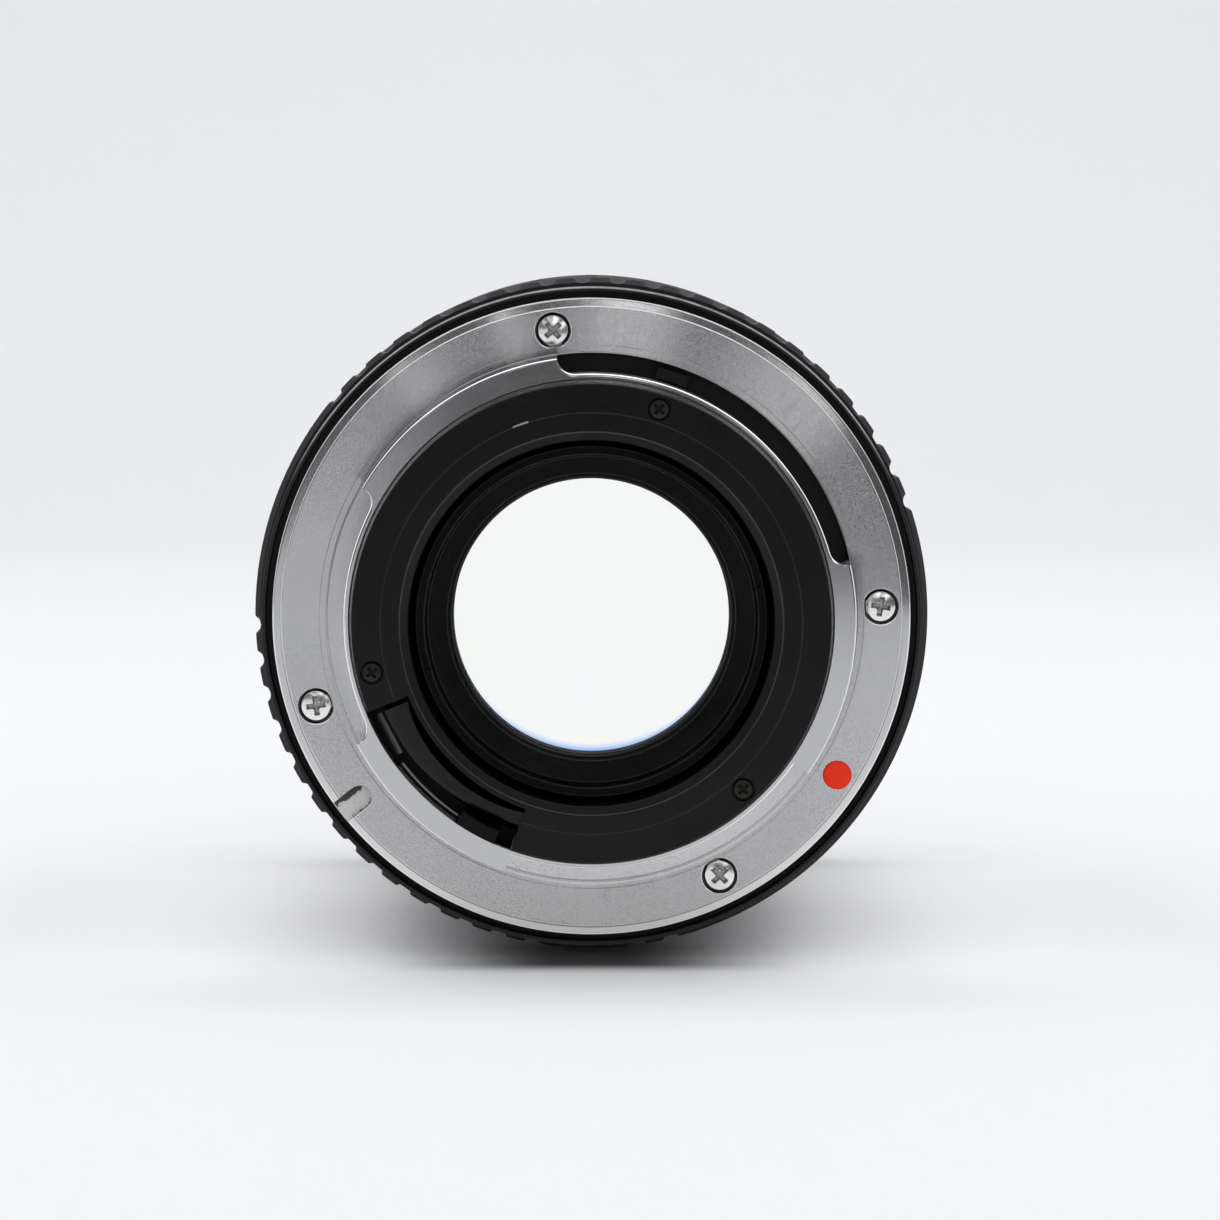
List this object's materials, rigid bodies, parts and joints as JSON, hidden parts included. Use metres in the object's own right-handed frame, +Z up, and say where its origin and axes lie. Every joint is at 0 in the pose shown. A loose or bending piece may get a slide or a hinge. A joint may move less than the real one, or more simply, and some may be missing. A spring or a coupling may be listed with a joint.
{
  "type": "telephoto lens",
  "caption": "Manual-focus telephoto lens for a single-lens reflex camera, with a rear bayonet, aperture ring, focusing ring, iris and built-in sliding hood.",
  "frame": {"origin": "centre of the bayonet flange's seating face", "axes": "+Y along the optical axis towards the front of the lens, +Z up as the lens lies on its side, with the flange facing -Y"},
  "size_m": [0.0666, 0.096, 0.0666],
  "materials": {
    "mount_metal": "satin chrome on brass, turned",
    "screw_steel": "bright pan heads",
    "index_red": "enamel",
    "baffle_black": "matt black paint",
    "black_screw": "blackened steel",
    "inner_black": "black anodised aluminium",
    "ring_black": "satin black anodised aluminium",
    "grip_rubber": "moulded ribs",
    "brass": "machined",
    "spring_steel": "ground",
    "lever_steel": "dark plated steel",
    "blade_steel": "blackened steel",
    "coated_glass": "single-layer coated",
    "felt": "short black felt"
  },
  "bodies": {
    "root": {"bayonet_mount": "mount_metal", "mount_screws": "screw_steel", "index_dot": "index_red", "rear_baffle": "baffle_black", "baffle_screws": "black_screw", "coupling_circlip": "spring_steel", "lever_retainer": "inner_black", "rear_housing": "inner_black", "click_ball": "spring_steel", "click_spring": "spring_steel", "index_ring": "ring_black", "index_ring_screws": "black_screw", "fixed_barrel": "inner_black", "barrel_screws": "screw_steel", "guide_keys": "brass", "key_screws": "screw_steel", "focus_stop": "brass"},
    "aperture_ring": {"aperture_ring": "ring_black", "coupling_ring": "inner_black", "link_pin": "spring_steel"},
    "stopdown_lever": {"stopdown_lever": "lever_steel"},
    "focus_ring": {"focus_sleeve": "ring_black", "focus_grip": "grip_rubber", "sleeve_guide_screws": "black_screw", "helicoid_ring": "brass", "helicoid_screws": "screw_steel"},
    "lens_unit": {"carrier_tube": "inner_black", "iris_housing": "inner_black", "pivot_plate": "inner_black", "iris_retainer": "inner_black", "rear_cell": "inner_black", "rear_cell_screws": "screw_steel", "rear_spanner_ring": "inner_black", "light_funnel": "baffle_black", "rear_element": "coated_glass", "fourth_element": "coated_glass", "rear_group_ring": "inner_black", "front_barrel": "ring_black", "carrier_screws": "screw_steel", "front_cell": "inner_black", "third_element": "coated_glass", "second_element": "coated_glass", "first_element": "coated_glass", "third_element_ring": "inner_black", "second_element_ring": "inner_black", "first_element_ring": "inner_black", "front_bezel": "ring_black", "hood_felt": "felt"},
    "iris_ring": {"cam_ring": "inner_black", "iris_drive_pin": "spring_steel"},
    "hood": {"hood": "ring_black"},
    "iris_blade_1": {"iris_blade_1": "blade_steel"},
    "iris_blade_2": {"iris_blade_2": "blade_steel"},
    "iris_blade_3": {"iris_blade_3": "blade_steel"},
    "iris_blade_4": {"iris_blade_4": "blade_steel"},
    "iris_blade_5": {"iris_blade_5": "blade_steel"},
    "iris_blade_6": {"iris_blade_6": "blade_steel"},
    "iris_blade_7": {"iris_blade_7": "blade_steel"},
    "iris_blade_8": {"iris_blade_8": "blade_steel"}
  },
  "joints": [
    {"name": "aperture_ring_turn", "type": "hinge", "parent": "root", "child": "aperture_ring", "pos_m": [0, 0, 0], "axis": [0, 1, 0], "range_deg": [0, 34]},
    {"name": "stopdown_lever_turn", "type": "hinge", "parent": "root", "child": "stopdown_lever", "pos_m": [0, 0.003, 0], "axis": [0, 1, 0], "range_deg": [0, 20], "stiffness_Nm_per_rad": 0.02, "springref_deg": -11.46},
    {"name": "focus_ring_turn", "type": "hinge", "parent": "root", "child": "focus_ring", "pos_m": [0, 0.03, 0], "axis": [0, 1, 0], "range_deg": [0, 270]},
    {"name": "lens_unit_slide", "type": "slide", "parent": "root", "child": "lens_unit", "axis": [0, 1, 0], "range_m": [0, 0.0134]},
    {"name": "hood_slide", "type": "slide", "parent": "lens_unit", "child": "hood", "axis": [0, 1, 0], "range_m": [0, 0.024]},
    {"name": "iris_ring_turn", "type": "hinge", "parent": "lens_unit", "child": "iris_ring", "pos_m": [0, 0.036, 0], "axis": [0, 1, 0], "range_deg": [0, 20]},
    {"name": "blade_1_swing", "type": "hinge", "parent": "lens_unit", "child": "iris_blade_1", "pos_m": [0.0224, 0.0388, 0], "axis": [0, 1, 0], "range_deg": [-33, 0]},
    {"name": "blade_2_swing", "type": "hinge", "parent": "lens_unit", "child": "iris_blade_2", "pos_m": [0.01584, 0.0388, 0.01584], "axis": [0, 1, 0], "range_deg": [-33, 0]},
    {"name": "blade_3_swing", "type": "hinge", "parent": "lens_unit", "child": "iris_blade_3", "pos_m": [0, 0.0388, 0.0224], "axis": [0, 1, 0], "range_deg": [-33, 0]},
    {"name": "blade_4_swing", "type": "hinge", "parent": "lens_unit", "child": "iris_blade_4", "pos_m": [-0.01584, 0.0388, 0.01584], "axis": [0, 1, 0], "range_deg": [-33, 0]},
    {"name": "blade_5_swing", "type": "hinge", "parent": "lens_unit", "child": "iris_blade_5", "pos_m": [-0.0224, 0.0388, 0], "axis": [0, 1, 0], "range_deg": [-33, 0]},
    {"name": "blade_6_swing", "type": "hinge", "parent": "lens_unit", "child": "iris_blade_6", "pos_m": [-0.01584, 0.0388, -0.01584], "axis": [0, 1, 0], "range_deg": [-33, 0]},
    {"name": "blade_7_swing", "type": "hinge", "parent": "lens_unit", "child": "iris_blade_7", "pos_m": [0, 0.0388, -0.0224], "axis": [0, 1, 0], "range_deg": [-33, 0]},
    {"name": "blade_8_swing", "type": "hinge", "parent": "lens_unit", "child": "iris_blade_8", "pos_m": [0.01584, 0.0388, -0.01584], "axis": [0, 1, 0], "range_deg": [-33, 0]}
  ],
  "couplings": [
    {"joint": "lens_unit_slide", "follows": "focus_ring_turn", "m_per_rad": 0.0028433},
    {"joint": "iris_ring_turn", "follows": "stopdown_lever_turn", "ratio": 1},
    {"joint": "blade_1_swing", "follows": "stopdown_lever_turn", "ratio": -1.65},
    {"joint": "blade_2_swing", "follows": "stopdown_lever_turn", "ratio": -1.65},
    {"joint": "blade_3_swing", "follows": "stopdown_lever_turn", "ratio": -1.65},
    {"joint": "blade_4_swing", "follows": "stopdown_lever_turn", "ratio": -1.65},
    {"joint": "blade_5_swing", "follows": "stopdown_lever_turn", "ratio": -1.65},
    {"joint": "blade_6_swing", "follows": "stopdown_lever_turn", "ratio": -1.65},
    {"joint": "blade_7_swing", "follows": "stopdown_lever_turn", "ratio": -1.65},
    {"joint": "blade_8_swing", "follows": "stopdown_lever_turn", "ratio": -1.65}
  ]
}
